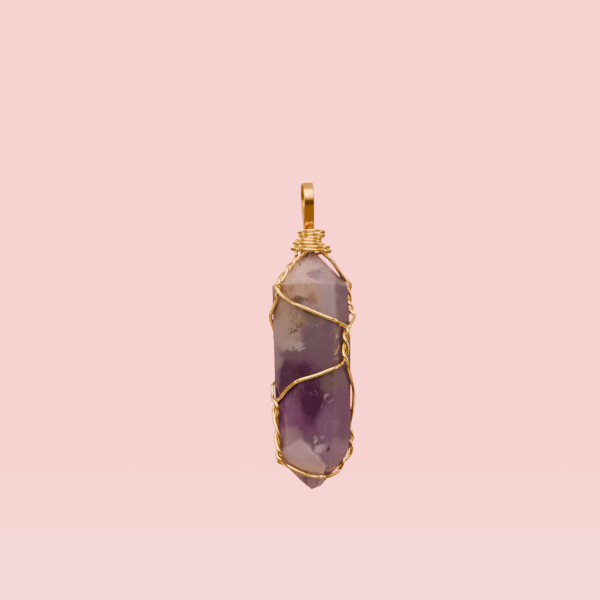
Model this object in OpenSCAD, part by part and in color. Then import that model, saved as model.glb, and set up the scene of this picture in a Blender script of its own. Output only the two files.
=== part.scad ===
// Double-ended crystal point, caged in two twisted wires and hung from a strap bail.
// Millimetres, Z up. The origin is the point inside the top of the bail that a chain bears on.
// Azimuths turn about the crystal's axis, from its front face (-Y) towards +X.

/* [Crystal] */
// Width over the left and right edges
crystal_width = 15.5; // [15:0.1:16]
// Distance of the front face from the crystal's axis
front_reach = 7.2; // [7:0.1:7.4]
// Distance of the back face from the crystal's axis
back_reach = 6.8; // [6.6:0.1:7]
// Height of the shoulder under the upper point
upper_shoulder = -20.3; // [-20.6:0.1:-20]
// Height of the shoulder over the lower point
lower_shoulder = -51.2; // [-51.5:0.1:-50.9]

/* [Wire] */
// Diameter of the cage wires
wire_d = 0.72; // [0.6:0.02:0.72]
// Diameter of the binding wires round the collar
binding_d = 0.62; // [0.5:0.02:0.62]
// Clearance between neighbouring pieces
gap = 0.06; // [0.04:0.01:0.06]
// Sides of a cage wire's section
wire_sides = 8; // [6:1:8]
// Sides of a binding wire's section
binding_sides = 8; // [6:1:8]

/* [Bail] */
// Radius of the strap's inner face at the top of the loop
bail_inner_r = 2.85; // [2.85:0.05:3]
// Thickness of the strap
strap_t = 0.7; // [0.6:0.05:0.7]
// Width of the strap round the loop
strap_w = 2.1; // [2:0.05:2.2]
// Width of the strap's legs in the collar
leg_w = 1.95; // [1.9:0.05:2]

/* [Hidden] */
$fn = 64;
// Side of the blocks that cut the crystal's faces
big = 80;

// The crystal's axis and the collar's axis stand a little to the right of the bail.
crystal_x = 0.6;
collar_x = 0.5;

// Faces of the crystal: azimuth, tip upwards, distance from the axis at a height.
AZ = 0;
TIP = 1;
OUT = 2;
AT = 3;
side_reach = crystal_width / 2 * cos(30);
mid_height = -33;
side_faces = [
    [0, 0, front_reach, mid_height],
    [60, 0, side_reach, mid_height],
    [120, 0, side_reach, mid_height],
    [180, 0, back_reach, mid_height],
    [240, -1.4, side_reach - 0.11, mid_height],
    [300, -1.4, side_reach - 0.11, mid_height],
    [54, 2, 6.93, -25],
    [88, 3.5, crystal_width / 2 - 0.01, -31.4]
];
upper_faces = [
    [0, 43, front_reach, upper_shoulder],
    [60, 41, side_reach, upper_shoulder - 0.2],
    [120, 41, side_reach, upper_shoulder - 0.2],
    [180, 42, back_reach, upper_shoulder - 0.2],
    [240, 41, side_reach, upper_shoulder + 0.3],
    [300, 41, side_reach, upper_shoulder + 0.2]
];
lower_faces = [
    [314.4, -35.8, 7.64, lower_shoulder + 0.5],
    [66, -36.7, 4.79, lower_shoulder - 4.7],
    [120, -36.7, 4.47, lower_shoulder - 4.7],
    [180, -36, back_reach, lower_shoulder - 0.3],
    [245, -42, 6.2, lower_shoulder - 3.1],
    [90, -17, 7.72, lower_shoulder + 0.6],
    [270, -52, 2.28, lower_shoulder - 7.75],
    [75, -69, 1.72, lower_shoulder - 8.78]
];
faces = concat(side_faces, upper_faces, lower_faces);

// The block that the crystal is cut from
block = [20, 20, 55];
block_foot = -65;

// Wires lie this far off the crystal: single strands, and the middle of a twisted pair.
// The slack makes room for the flats of a wire's section and for its bends.
wire_r = wire_d / 2;
twist_slack = 0.025;
seat_slack = 0.03;
twist_r = wire_r + gap / 2 + twist_slack;
// Looser twists are spread further sideways
open_r = twist_r + 0.1;
single_off = wire_r + 2 * gap + seat_slack;
pair_off = wire_r + gap + twist_r;
// Sharpness with which the seat of the wires turns round the crystal's edges
seat_power = 80;
// A face turned away from an azimuth is taken to be this far out there
far_off = 1000;
// Length of a ring of mesh along a single strand, a twisted one and a binding
single_step = 0.75;
twist_step = 0.48;
binding_step = 0.6;

// Rows of a route: azimuth, height, lift off the seat, spread from a pair's middle, and phase.
// Millimetres that one unit of each column stands for, for spacing the rows
ROUTE_SCALE = [0.12, 1, 1, 0, 0];
POINT_SCALE = [1, 1, 1];
// A coil's first column is in turns, and 17 mm is a mean turn's length.
COIL_SCALE = [17, 1, 1];

// Twisted pairs: azimuth and height of the middle, phase of the leading strand, and in some rows
// a spread of their own. Phase 0 is outermost, and it turns towards +azimuth on the way down.
left_top_twist = [
    [-71, -14.5, -35],
    [-70, -15.6, 65],
    [-69.3, -17.5, 245],
    [-66, -19.8, 425],
    [-64, -21.8, 605, 0.5]
];
right_top_twist = [
    [100, -19.0, -90, 0.45],
    [105.5, -21.2, 65],
    [103.5, -23.6, 245],
    [100, -25.4, 440, 0.52]
];
front_twist = [
    [61, -28.9, -65],
    [56.5, -30.1, 25],
    [56, -31.4, 115],
    [54.6, -33, 205],
    [53, -34.6, 295],
    [53.5, -35.5, 370]
];
back_twist = [
    [-120, -31.2, -100, 0.6],
    [-120, -33.9, 90],
    [-120, -36.4, 270],
    [-120, -38.6, 440, 0.6]
];
left_low_twist = [
    [-77.5, -43.3, 12, 0.62],
    [-78, -46, 145],
    [-76.2, -49, 235],
    [-74.6, -51.1, 325],
    [-72.8, -53, 415],
    [-72.8, -54.1, 505],
    [-75, -54.9, 580]
];
right_low_twist = [
    [101, -49.4, -90, 0.48],
    [101, -51.5, 65],
    [103, -53.1, 155],
    [101, -55.2, 245, 0.45],
    [102, -56.5, 345, 0.47]
];

// Single strands between the twists: azimuth, height and lift
upper_diagonal = [
    [-50.6, -23.0, 0],
    [-22, -24.8, 0.02],
    [-1, -26.0, 0],
    [20, -27.2, 0.02],
    [38, -28.0, 0.02]
];
lower_diagonal = [
    [-69, -42.75, 0],
    [-56, -41.5, 0],
    [-41, -40.5, 0.02],
    [-22, -39.3, 0.04],
    [6, -38.1, 0],
    [23.5, -37.05, 0.03],
    [38.5, -36.3, 0.03]
];
right_descent = [
    [69.5, -36.7, 0],
    [78, -37.9, 0],
    [87, -39.9, 0.0],
    [90, -41.9, 0.1],
    [91, -44, 0.0],
    [95, -46.2, 0],
    [99, -47.9, 0]
];
right_entry = [
    [79.5, -27.6, 0.15],
    [88, -26.75, 0.35]
];
front_ring = [
    [88, -57.5, 0.05],
    [70, -57.85, 0.02],
    [42, -58.1, 0],
    [14, -58.15, 0.03],
    [-4, -58.05, 0.03],
    [-36, -57.5, 0],
    [-63, -56.75, 0],
    [-77, -55.8, 0]
];
back_ring = [
    [-246, -57.3, 0],
    [-225, -57.6, 0],
    [-180, -57.4, 0],
    [-140, -56.6, 0],
    [-108, -55.6, 0],
    [-90, -55.25, 0]
];
left_back_diagonal = [
    [-77, -23.8, 0],
    [-89, -26.1, 0.05],
    [-104, -29.2, 0]
];
right_back_diagonal = [
    [-140, -30.0, 0],
    [-165, -29.0, 0],
    [-195, -28.2, 0.08],
    [-230, -27.2, 0.08]
];
back_to_left = [
    [-84.5, -42.3, 0.3],
    [-88, -41.2, 0.12],
    [-90, -40.2, 0.05],
    [-98, -39.4, 0],
    [-109, -38.9, 0]
];
back_to_right = [
    [-134, -39.8, 0],
    [-160, -42.0, 0],
    [-195, -44.2, 0.05],
    [-228, -46.0, 0.05],
    [-246, -47.2, 0]
];

// Ends of the cage wires inside the collar, listed from the end down
left_near_end = [
    [-0.35, -1.25, -11.0],
    [-0.35, -1.3, -11.9],
    [-0.45, -1.75, -12.9],
    [-0.95, -2.3, -13.75]
];
left_far_end = [
    [-1.42, 0.2, -11.75],
    [-1.65, 0.1, -12.2],
    [-2.1, -0.2, -12.9],
    [-2.6, -0.7, -13.5]
];
right_near_end = [
    [1.5, -0.42, -10.2],
    [1.55, -0.44, -11.6],
    [1.95, -0.48, -12.75],
    [3.05, -0.46, -13.85],
    [4.35, -0.42, -14.95],
    [5.3, -0.35, -16.15],
    [6.3, -0.15, -17.6]
];
right_far_end = [
    [1.5, 0.42, -10.2],
    [1.55, 0.44, -11.6],
    [1.95, 0.48, -12.75],
    [3.05, 0.5, -13.85],
    [4.35, 0.55, -14.95],
    [5.3, 0.65, -16.15],
    [6.3, 0.9, -17.6]
];

// Binding wires round the collar: turns from the front, radius and height
top_turns = [
    [0.64, 2.36, -9.38],
    [0.75, 2.52, -9.57],
    [1, 2.45, -9.35],
    [1.25, 2.48, -9.5],
    [1.5, 2.35, -9.85],
    [1.75, 2.34, -10.24],
    [2, 2.3, -10.04],
    [2.065, 2.08, -10.05]
];
main_turns = [
    [0.062, 2.8, -10.13],
    [0.25, 2.44, -10.2],
    [0.5, 2.25, -10.53],
    [0.625, 2.13, -10.7],
    [0.75, 2.26, -10.93],
    [1, 2.15, -10.72],
    [1.25, 1.8, -10.86],
    [1.375, 1.88, -11.0],
    [1.5, 2.1, -11.21],
    [1.625, 2.46, -11.31],
    [1.75, 2.98, -11.16],
    [2, 2.55, -11.3],
    [2.25, 1.8, -11.55],
    [2.375, 2.05, -11.7],
    [2.5, 2.45, -11.79],
    [2.625, 3.0, -11.74],
    [2.75, 3.5, -11.7],
    [3, 2.95, -11.94],
    [3.25, 2.45, -12.1],
    [3.5, 3.02, -12.26],
    [3.625, 3.2, -12.4],
    [3.75, 3.3, -12.37],
    [4, 3.45, -12.66],
    [4.25, 3.48, -12.52],
    [4.5, 3.6, -12.77],
    [4.625, 3.82, -12.85],
    [4.75, 3.95, -12.82],
    [5, 3.6, -13.36],
    [5.25, 3.78, -13.3],
    [5.5, 3.6, -13.46],
    [5.6, 3.35, -13.44]
];

// Heights along the bail
loop_z = -bail_inner_r;
legs_meet_z = -8.9;
inner_meet_z = legs_meet_z + strap_t * 0.9;
legs_end_z = -12.2;
legs_gap = 0.1;
// Steps round the loop's curve
loop_steps = 56;
// The bail leans about the foot of its loop.
bail_lean = -2.6;

function total(v) = v * [for (i = v) 1];
function unit(v) = v / norm(v);
function last(v) = v[len(v) - 1];
function flip(v) = [for (i = [len(v) - 1:-1:0]) v[i]];
function face_normal(f) = [sin(f[AZ]) * cos(f[TIP]), -cos(f[AZ]) * cos(f[TIP]), sin(f[TIP])];

// Distance from the axis to one face, moved outwards by off, at an azimuth and height
function face_radius(f, az, z, off) =
    let (across = cos(az - f[AZ]))
    across < 0.05 ? far_off
    : max(0.3, (f[OUT] * cos(f[TIP]) + off - (z - f[AT]) * sin(f[TIP])) / (cos(f[TIP]) * across));

// The seat: the crystal's surface moved outwards, its edges rounded by a power mean
function seat_weights(az, z, off) = [for (f = faces) pow(face_radius(f, az, z, off), -seat_power)];
function seat_radius(az, z, off) = pow(total(seat_weights(az, z, off)), -1 / seat_power);
function seat_normal(az, z, off) = unit(seat_weights(az, z, off) * [for (f = faces) face_normal(f)]);
function seat_point(az, z, off) =
    let (r = seat_radius(az, z, off))
    [crystal_x + r * sin(az), -r * cos(az), z];

// Point of a route's row: its seat, moved sideways and outwards round the pair's middle
function route_point(row) =
    let (spread = max(0, row[3]),
         depth = min(spread, twist_r),
         off = row[2] + single_off + (pair_off - single_off) * depth / twist_r,
         n = seat_normal(row[0], row[1], off),
         side = unit(cross(n, [0, 0, -1])))
    seat_point(row[0], row[1], off) + depth * cos(row[4]) * n + spread * sin(row[4]) * side;

// Non-uniform Catmull-Rom curve through rows of any columns
function reach_between(a, b, scale) =
    max(0.02, norm([for (i = [0:len(scale) - 1]) (b[i] - a[i]) * scale[i]]));
function row_slope(rows, i, scale) =
    let (before = max(i - 1, 0),
         after = min(i + 1, len(rows) - 1),
         d0 = i > 0 ? reach_between(rows[before], rows[i], scale) : 1,
         d1 = i < after ? reach_between(rows[i], rows[after], scale) : 1,
         s0 = (rows[i] - rows[before]) / d0,
         s1 = (rows[after] - rows[i]) / d1)
    i == 0 ? s1 : i == after ? s0 : (s0 * d1 + s1 * d0) / (d0 + d1);
function between(a, b, ma, mb, d, t) =
    a * (2 * t * t * t - 3 * t * t + 1) + ma * d * (t * t * t - 2 * t * t + t)
    + b * (3 * t * t - 2 * t * t * t) + mb * d * (t * t * t - t * t);
function smooth(rows, scale, steps) = concat(
    [for (i = [0:len(rows) - 2])
        let (d = reach_between(rows[i], rows[i + 1], scale),
             ma = row_slope(rows, i, scale),
             mb = row_slope(rows, i + 1, scale),
             n = ceil(d / (is_list(steps) ? min(steps[i], steps[i + 1]) : steps)))
        for (k = [0:n - 1]) between(rows[i], rows[i + 1], ma, mb, d, k / n)],
    [last(rows)]);

// A strand of a twist, 0 for the leading one and 1 for the other, turned back by whole turns
function strand(twist, which, turns = 0, spread = twist_r) =
    [for (r = twist) [r[0] - 360 * turns, r[1], 0, len(r) > 3 ? r[3] : spread, r[2] + 180 * which]];
// A single strand, whose phases carry on from the twist before it and lead to the one after
function run(rows, phase_in, phase_out) =
    [for (i = [0:len(rows) - 1])
        concat(rows[i], [0, i < len(rows) / 2 ? phase_in : phase_out])];
function end_phase(s) = last(s)[4];
function start_phase(s) = s[0][4];
function joined(s, rows, next) = run(rows, end_phase(s), start_phase(next));

function route_steps(rows) = [for (r = rows) r[3] > 0 ? twist_step : single_step];
function on_crystal(rows) = [for (r = smooth(rows, ROUTE_SCALE, route_steps(rows))) route_point(r)];

// Ends inside the collar, blended into the seated part of the wire
function end_blend(end_rows, body) =
    let (rows = concat(end_rows, [body[0], body[2]]),
         fine = smooth(rows, POINT_SCALE, single_step),
         n = ceil(reach_between(body[0], body[2], POINT_SCALE) / single_step))
    [for (i = [0:len(fine) - n - 2]) fine[i]];
function whole_wire(start_rows, rows, end_rows) =
    let (body = on_crystal(rows))
    concat(end_blend(start_rows, body), body, flip(end_blend(end_rows, flip(body))));

// The twists, each with its strands in the direction that the wire runs
lt0 = strand(left_top_twist, 0);
lt1 = strand(left_top_twist, 1);
rt0 = flip(strand(right_top_twist, 0, 1));
rt1 = flip(strand(right_top_twist, 1));
f0 = strand(front_twist, 0, 0, open_r);
f1 = flip(strand(front_twist, 1, 0, open_r));
b0 = flip(strand(back_twist, 0, 0, open_r));
b1 = strand(back_twist, 1, 0, open_r);
ll0 = flip(strand(left_low_twist, 0, 0, open_r));
ll1 = flip(strand(left_low_twist, 1, 0, open_r));
rl0 = strand(right_low_twist, 0);
rl1 = strand(right_low_twist, 1, 1);

front_rows = concat(
    lt1, joined(lt1, upper_diagonal, f0),
    f0, joined(f0, right_descent, rl0),
    rl0, joined(rl0, front_ring, ll1),
    ll1, joined(ll1, lower_diagonal, f1),
    f1, joined(f1, right_entry, rt1),
    rt1);
back_rows = concat(
    lt0, joined(lt0, left_back_diagonal, b1),
    b1, joined(b1, back_to_right, rl1),
    rl1, joined(rl1, back_ring, ll0),
    ll0, joined(ll0, back_to_left, b0),
    b0, joined(b0, right_back_diagonal, rt0),
    rt0);

// Side outline of a loop: a round top of radius r, whose sides meet at half depth leg and run on down
function loop_outline(r, leg, meet_z, end_z) =
    let (fall = loop_z - meet_z,
         slope = asin(r / norm([leg, fall])) - atan2(leg, fall))
    concat(
        [[leg, end_z], [leg, meet_z]],
        [for (k = [0:loop_steps])
            let (a = (180 + 2 * slope) * k / loop_steps - slope)
            [r * cos(a), loop_z + r * sin(a)]],
        [[-leg, meet_z], [-leg, end_z]]);

function coil_point(row) =
    [collar_x + row[1] * sin(360 * row[0]), -row[1] * cos(360 * row[0]), row[2]];
function coil(turns) = [for (r = smooth(turns, COIL_SCALE, binding_step)) coil_point(r)];

// Round tube swept along a path, its section carried along without twisting
module tube(path, r, sides) {
    n = len(path);
    along = [for (i = [0:n - 1]) unit(path[min(i + 1, n - 1)] - path[max(i - 1, 0)])];
    slanted = [0.3, 0.5, 0.81];
    first = unit(cross(along[0], slanted));
    across = [for (i = 0, u = first; i < n;
        i = i + 1, u = i < n ? unit(u - (u * along[i]) * along[i]) : u) u];
    points = [for (i = [0:n - 1], k = [0:sides - 1])
        path[i] + r * (cos(360 * k / sides) * across[i]
                       + sin(360 * k / sides) * cross(along[i], across[i]))];
    walls = [for (i = [0:n - 2], k = [0:sides - 1])
        let (a = i * sides + k, b = i * sides + (k + 1) % sides)
        for (f = [[a, a + sides, b + sides], [a, b + sides, b]]) f];
    caps = [[for (k = [0:sides - 1]) k], [for (k = [sides - 1:-1:0]) (n - 1) * sides + k]];
    polyhedron(points, concat(walls, caps));
}

// Everything outside one face of the crystal
module beyond(f) {
    translate([crystal_x, 0, f[AT]])
        rotate([0, 0, f[AZ] - 90])
            translate([f[OUT], 0, 0])
                rotate([0, -f[TIP], 0])
                    translate([0, -big / 2, -big / 2])
                        cube(big);
}

module crystal() {
    color("#8d7396")
        difference() {
            translate([crystal_x - block.x / 2, -block.y / 2, block_foot])
                cube(block);
            for (f = faces)
                beyond(f);
        }
}

module bail() {
    color("#d6a548")
        translate([0, 0, legs_meet_z])
        rotate([0, bail_lean, 0])
        translate([0, 0, -legs_meet_z])
        intersection() {
            rotate([90, 0, 90])
                linear_extrude(strap_w + 1, center = true)
                    difference() {
                        polygon(loop_outline(
                            bail_inner_r + strap_t, strap_t + legs_gap / 2, legs_meet_z, legs_end_z));
                        polygon(loop_outline(bail_inner_r, legs_gap / 2, inner_meet_z, legs_end_z - 1));
                    }
            rotate([90, 0, 0])
                linear_extrude(20, center = true)
                    polygon([
                        [-strap_w / 2, 1], [strap_w / 2, 1], [strap_w / 2, loop_z],
                        [leg_w / 2, legs_meet_z + 1], [leg_w / 2, legs_end_z - 2],
                        [-leg_w / 2, legs_end_z - 2], [-leg_w / 2, legs_meet_z + 1], [-strap_w / 2, loop_z]
                    ]);
        }
}

module front_wire() {
    color("#d9a441")
        tube(whole_wire(left_near_end, front_rows, right_far_end), wire_r, wire_sides);
}

module back_wire() {
    color("#cf9a3c")
        tube(whole_wire(left_far_end, back_rows, right_near_end), wire_r, wire_sides);
}

module top_binding() {
    color("#e0b050")
        tube(coil(top_turns), binding_d / 2, binding_sides);
}

module main_binding() {
    color("#d6a040")
        tube(coil(main_turns), binding_d / 2, binding_sides);
}

crystal();
bail();
front_wire();
back_wire();
top_binding();
main_binding();
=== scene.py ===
"""Looks of the wire-wrapped crystal pendant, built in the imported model's frame.

Sizes are in millimetres until a mesh or a node is made, which is in metres.
Azimuths turn about the crystal's axis, from its front face (-Y) towards +X.
"""

import math

import bmesh
import bpy
import numpy as np
from mathutils import Matrix, Vector


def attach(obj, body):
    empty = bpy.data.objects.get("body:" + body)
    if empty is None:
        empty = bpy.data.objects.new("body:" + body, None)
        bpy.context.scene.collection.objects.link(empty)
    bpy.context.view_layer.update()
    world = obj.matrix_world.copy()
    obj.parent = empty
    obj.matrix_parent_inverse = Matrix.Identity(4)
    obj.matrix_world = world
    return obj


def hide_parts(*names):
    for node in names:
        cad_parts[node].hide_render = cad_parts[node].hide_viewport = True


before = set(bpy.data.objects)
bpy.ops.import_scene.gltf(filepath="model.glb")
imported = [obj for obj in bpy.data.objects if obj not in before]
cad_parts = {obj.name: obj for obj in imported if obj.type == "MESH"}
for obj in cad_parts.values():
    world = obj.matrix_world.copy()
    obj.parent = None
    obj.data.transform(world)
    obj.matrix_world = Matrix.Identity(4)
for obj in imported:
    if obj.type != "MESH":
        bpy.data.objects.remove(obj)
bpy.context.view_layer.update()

MM = 0.001
BODY = "root"

# The photograph's view: slightly up at the pendant, from a little to its left
VIEW_AZIMUTH = -5.3
VIEW_ELEVATION = -4.0
VIEW_DISTANCE = 450
VIEW_SHIFT = (-1.78, -23.0)
LENS = 135
SENSOR = 36

# The crystal's faces: azimuth, tip upwards, and distance from the axis at a height
CRYSTAL_X = 0.6
CRYSTAL_FACES = np.array([
    [0, 0, 7.2, -33],
    [60, 0, 6.712, -33],
    [120, 0, 6.712, -33],
    [180, 0, 6.8, -33],
    [240, -1.4, 6.602, -33],
    [300, -1.4, 6.602, -33],
    [54, 2, 6.93, -25],
    [88, 3.5, 7.74, -31.4],
    [0, 43, 7.2, -20.3],
    [60, 41, 6.712, -20.5],
    [120, 41, 6.712, -20.5],
    [180, 42, 6.8, -20.5],
    [240, 41, 6.712, -20.0],
    [300, 41, 6.712, -20.1],
    [314.4, -35.8, 7.64, -50.7],
    [66, -36.7, 4.79, -55.9],
    [120, -36.7, 4.47, -55.9],
    [180, -36, 6.8, -51.5],
    [245, -42, 6.2, -54.3],
    [90, -17, 7.72, -50.6],
    [270, -52, 2.28, -58.95],
    [75, -69, 1.72, -59.98],
])
EDGE_ROUNDING = 0.3
# Edges flatter than this many degrees stay sharp
LEAST_EDGE = 4
# The block that the crystal is cut from: its side, and the height of its middle
BLOCK = 60
BLOCK_MIDDLE = -36
# Points closer than this are one, while a face is cut and afterwards
CUT_MERGE = 0.0001
LAST_MERGE = 0.002

# Wires, and how far off the crystal they lie: single strands, and the middle of a twisted pair
WIRE_R = 0.36
BINDING_R = 0.31
GAP = 0.06
TWIST_SLACK = 0.025
SEAT_SLACK = 0.03
TWIST_R = WIRE_R + GAP / 2 + TWIST_SLACK
# Looser twists are spread further sideways
OPEN_R = TWIST_R + 0.1
SINGLE_OFF = WIRE_R + 2 * GAP + SEAT_SLACK
PAIR_OFF = WIRE_R + GAP + TWIST_R
# Sharpness with which the seat of the wires turns round the crystal's edges
SEAT_POWER = 80
# A face bounds the seat where the cosine of its turn away from an azimuth is at least this much
FACING = 0.05
# How far out the others are taken to be, and the least distance of any seat from the axis
FAR_OFF = 1000
LEAST_SEAT = 0.3
# Steps along a single strand, a twisted one and a binding, and the rings of mesh in each
SINGLE_STEP = 0.75
TWIST_STEP = 0.48
BINDING_STEP = 0.6
RINGS_A_STEP = 4
# Passes that ease a single strand's bends over the crystal's edges
EASING_PASSES = 30
# Clearance gained at an edge by a move outwards of 1, and the rings on each side that share it
EDGE_SLANT = 0.8
LIFT_STEPS = 5
WIRE_SIDES = 20
# Rings of a wire's domed end, as parts of its radius from the tip, and the first one's girth
DOME_RINGS = [0, 0.04, 0.15, 0.3, 0.5, 0.75]
TIP_GIRTH = 0.1
# Slight unevenness of the wires, and its length along them
CAGE_WOBBLE = 0.008
BINDING_WOBBLE = 0.006
WOBBLE_LENGTH = 2.2

# Millimetres that one unit of each column stands for, in the rows of a route (azimuth, height,
# lift off the seat, spread from a pair's middle, and phase), of a coil and of plain points
ROUTE_SCALE = [0.12, 1, 1, 0, 0]
COIL_SCALE = [17, 1, 1]
POINT_SCALE = [1, 1, 1]
# Two rows are never taken to be closer than this
LEAST_LENGTH = 0.02

# Twisted pairs: azimuth and height of the middle, phase of the leading strand, and an own spread
LEFT_TOP_TWIST = [
    [-71, -14.5, -35], [-70, -15.6, 65], [-69.3, -17.5, 245], [-66, -19.8, 425],
    [-64, -21.8, 605, 0.5],
]
RIGHT_TOP_TWIST = [
    [100, -19.0, -90, 0.45], [105.5, -21.2, 65], [103.5, -23.6, 245], [100, -25.4, 440, 0.52],
]
FRONT_TWIST = [
    [61, -28.9, -65], [56.5, -30.1, 25], [56, -31.4, 115], [54.6, -33, 205], [53, -34.6, 295],
    [53.5, -35.5, 370],
]
BACK_TWIST = [
    [-120, -31.2, -100, 0.6], [-120, -33.9, 90], [-120, -36.4, 270], [-120, -38.6, 440, 0.6],
]
LEFT_LOW_TWIST = [
    [-77.5, -43.3, 12, 0.62], [-78, -46, 145], [-76.2, -49, 235], [-74.6, -51.1, 325],
    [-72.8, -53, 415], [-72.8, -54.1, 505], [-75, -54.9, 580],
]
RIGHT_LOW_TWIST = [
    [101, -49.4, -90, 0.48], [101, -51.5, 65], [103, -53.1, 155], [101, -55.2, 245, 0.45],
    [102, -56.5, 345, 0.47],
]

# Single strands between the twists: azimuth, height and lift off the seat
UPPER_DIAGONAL = [
    [-50.6, -23, 0], [-22, -24.8, 0.02], [-1, -26, 0], [20, -27.2, 0.02], [38, -28, 0.02],
]
LOWER_DIAGONAL = [
    [-69, -42.75, 0], [-56, -41.5, 0], [-41, -40.5, 0.02], [-22, -39.3, 0.04], [6, -38.1, 0],
    [23.5, -37.05, 0.03], [38.5, -36.3, 0.03],
]
RIGHT_DESCENT = [
    [69.5, -36.7, 0], [78, -37.9, 0], [87, -39.9, 0], [90, -41.9, 0.1], [91, -44, 0],
    [95, -46.2, 0], [99, -47.9, 0],
]
RIGHT_ENTRY = [[79.5, -27.6, 0.15], [88, -26.75, 0.35]]
FRONT_RING = [
    [88, -57.5, 0.05], [70, -57.85, 0.02], [42, -58.1, 0], [14, -58.15, 0.03], [-4, -58.05, 0.03],
    [-36, -57.5, 0], [-63, -56.75, 0], [-77, -55.8, 0],
]
BACK_RING = [
    [-246, -57.3, 0], [-225, -57.6, 0], [-180, -57.4, 0], [-140, -56.6, 0], [-108, -55.6, 0],
    [-90, -55.25, 0],
]
LEFT_BACK_DIAGONAL = [[-77, -23.8, 0], [-89, -26.1, 0.05], [-104, -29.2, 0]]
RIGHT_BACK_DIAGONAL = [[-140, -30, 0], [-165, -29, 0], [-195, -28.2, 0.08], [-230, -27.2, 0.08]]
BACK_TO_LEFT = [
    [-84.5, -42.3, 0.3], [-88, -41.2, 0.12], [-90, -40.2, 0.05], [-98, -39.4, 0], [-109, -38.9, 0],
]
BACK_TO_RIGHT = [
    [-134, -39.8, 0], [-160, -42, 0], [-195, -44.2, 0.05], [-228, -46, 0.05], [-246, -47.2, 0],
]

# Ends of the cage wires inside the collar, listed from the end down
LEFT_NEAR_END = [
    [-0.35, -1.25, -11], [-0.35, -1.3, -11.9], [-0.45, -1.75, -12.9], [-0.95, -2.3, -13.75],
]
LEFT_FAR_END = [
    [-1.42, 0.2, -11.75], [-1.65, 0.1, -12.2], [-2.1, -0.2, -12.9], [-2.6, -0.7, -13.5],
]
RIGHT_NEAR_END = [
    [1.5, -0.42, -10.2], [1.55, -0.44, -11.6], [1.95, -0.48, -12.75], [3.05, -0.46, -13.85],
    [4.35, -0.42, -14.95], [5.3, -0.35, -16.15], [6.3, -0.15, -17.6],
]
RIGHT_FAR_END = [
    [1.5, 0.42, -10.2], [1.55, 0.44, -11.6], [1.95, 0.48, -12.75], [3.05, 0.5, -13.85],
    [4.35, 0.55, -14.95], [5.3, 0.65, -16.15], [6.3, 0.9, -17.6],
]

# Binding wires round the collar: turns from the front, radius and height
COLLAR_X = 0.5
TOP_TURNS = [
    [0.64, 2.36, -9.38], [0.75, 2.52, -9.57], [1, 2.45, -9.35], [1.25, 2.48, -9.5],
    [1.5, 2.35, -9.85], [1.75, 2.34, -10.24], [2, 2.3, -10.04], [2.065, 2.08, -10.05],
]
MAIN_TURNS = [
    [0.062, 2.8, -10.13], [0.25, 2.44, -10.2], [0.5, 2.25, -10.53], [0.625, 2.13, -10.7],
    [0.75, 2.26, -10.93], [1, 2.15, -10.72], [1.25, 1.8, -10.86], [1.375, 1.88, -11],
    [1.5, 2.1, -11.21], [1.625, 2.46, -11.31], [1.75, 2.98, -11.16], [2, 2.55, -11.3],
    [2.25, 1.8, -11.55], [2.375, 2.05, -11.7], [2.5, 2.45, -11.79], [2.625, 3, -11.74],
    [2.75, 3.5, -11.7], [3, 2.95, -11.94], [3.25, 2.45, -12.1], [3.5, 3.02, -12.26],
    [3.625, 3.2, -12.4], [3.75, 3.3, -12.37], [4, 3.45, -12.66], [4.25, 3.48, -12.52],
    [4.5, 3.6, -12.77], [4.625, 3.82, -12.85], [4.75, 3.95, -12.82], [5, 3.6, -13.36],
    [5.25, 3.78, -13.3], [5.5, 3.6, -13.46], [5.6, 3.35, -13.44],
]

# The bail: a strap bent over the origin, whose legs meet and run down into the collar
BAIL_INNER_R = 2.85
STRAP_T = 0.7
STRAP_W = 2.1
LEGS_GAP = 0.1
LEGS_MEET_Z = -8.9
LEGS_END_Z = -12.2
BAIL_LEAN = -2.6
# The sides of the loop end this far above the place where the legs meet
MEET_RISE = 0.1
STRAP_ROUNDING = 0.26
STRAP_DISH = 0.17
# Points along the loop, each of its sides and each leg, and the passes that ease the bends
LOOP_STEPS = 96
SIDE_STEPS = 24
LEG_STEPS = 14
BEND_PASSES = 6
# Points round the strap's section, and in each of its corners
SECTION_STEPS = 72
CORNER_STEPS = 8


# Node trees

class Socket:
    """An output of a node. Arithmetic on it adds Math nodes to its tree."""

    def __init__(self, graph, output):
        self.graph = graph
        self.output = output

    def math(self, operation, *values):
        return self.graph.math(operation, self, *values)

    def __add__(self, other):
        return self.graph.math("ADD", self, other)

    def __radd__(self, other):
        return self.graph.math("ADD", other, self)

    def __sub__(self, other):
        return self.graph.math("SUBTRACT", self, other)

    def __rsub__(self, other):
        return self.graph.math("SUBTRACT", other, self)

    def __mul__(self, other):
        return self.graph.math("MULTIPLY", self, other)

    def __rmul__(self, other):
        return self.graph.math("MULTIPLY", other, self)

    def __truediv__(self, other):
        return self.graph.math("DIVIDE", self, other)

    def __rtruediv__(self, other):
        return self.graph.math("DIVIDE", other, self)


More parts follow.
